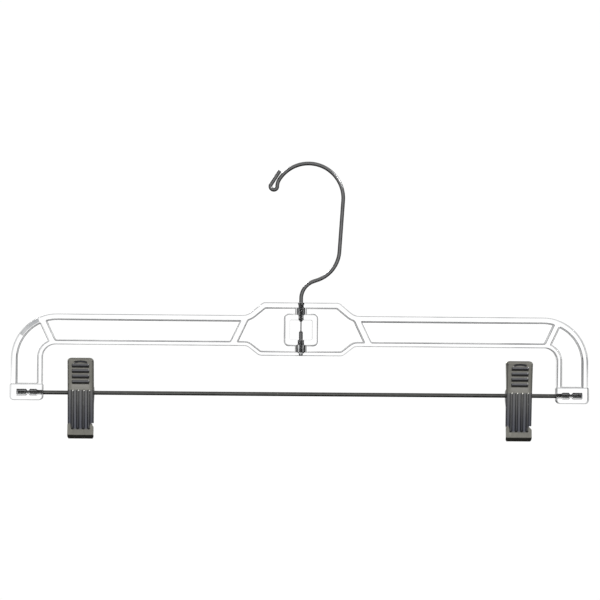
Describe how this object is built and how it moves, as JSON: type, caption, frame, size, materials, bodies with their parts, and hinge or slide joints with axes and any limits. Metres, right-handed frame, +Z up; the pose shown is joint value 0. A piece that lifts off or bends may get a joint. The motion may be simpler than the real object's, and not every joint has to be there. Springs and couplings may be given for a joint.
{
  "type": "clothes hanger",
  "caption": "Skirt and trouser hanger: clear ribbed frame on a swivelling wire hook, with a steel cross bar carrying sliding spring pinch clips.",
  "frame": {"origin": "the rail seat: the inside of the hook's crown, where the hanger hangs on its rail", "axes": "+X runs along the hanger, away from the hook's open side; -Y is the front; +Z is up"},
  "size_m": [0.3556, 0.0172, 0.1716],
  "materials": {
    "hook_steel": "drawn dark steel wire",
    "bar_steel": "drawn dark steel rod",
    "clip_steel": "stamped sheet with a dull dark nickel plating",
    "spring_steel": "bright spring wire",
    "clear_plastic": "polished clear moulding"
  },
  "bodies": {
    "hook": {"wire_hook": "hook_steel"},
    "frame": {"hanger_frame": "clear_plastic", "cross_bar": "bar_steel"},
    "left_clip": {"left_clip_spring": "spring_steel"},
    "left_back": {"left_back_jaw": "clip_steel"},
    "left_front": {"left_front_jaw": "clip_steel"},
    "right_clip": {"right_clip_spring": "spring_steel"},
    "right_back": {"right_back_jaw": "clip_steel"},
    "right_front": {"right_front_jaw": "clip_steel"}
  },
  "joints": [
    {"name": "hook_swivel", "type": "hinge", "parent": "hook", "child": "frame", "pos_m": [-0.0041, 0, -0.1411], "axis": [0, 0, 1], "continuous": true},
    {"name": "left_clip_slide", "type": "slide", "parent": "frame", "child": "left_clip", "axis": [1, 0, 0], "range_m": [-0.015, 0.1262]},
    {"name": "left_clip_swing", "type": "hinge", "parent": "left_clip", "child": "left_back", "pos_m": [-0.1386, 0, -0.1411], "axis": [1, 0, 0], "range_deg": [-100, 100], "deforming": ["left_clip_spring"]},
    {"name": "left_jaw_open", "type": "hinge", "parent": "left_back", "child": "left_front", "pos_m": [-0.1386, 0, -0.1411], "axis": [-1, 0, 0], "range_deg": [0, 30], "stiffness_Nm_per_rad": 0.35, "springref_deg": -45.84, "deforming": ["left_clip_spring"]},
    {"name": "right_clip_slide", "type": "slide", "parent": "frame", "child": "right_clip", "axis": [1, 0, 0], "range_m": [-0.1262, 0.015]},
    {"name": "right_clip_swing", "type": "hinge", "parent": "right_clip", "child": "right_back", "pos_m": [0.1304, 0, -0.1411], "axis": [1, 0, 0], "range_deg": [-100, 100], "deforming": ["right_clip_spring"]},
    {"name": "right_jaw_open", "type": "hinge", "parent": "right_back", "child": "right_front", "pos_m": [0.1304, 0, -0.1411], "axis": [-1, 0, 0], "range_deg": [0, 30], "stiffness_Nm_per_rad": 0.35, "springref_deg": -45.84, "deforming": ["right_clip_spring"]}
  ]
}
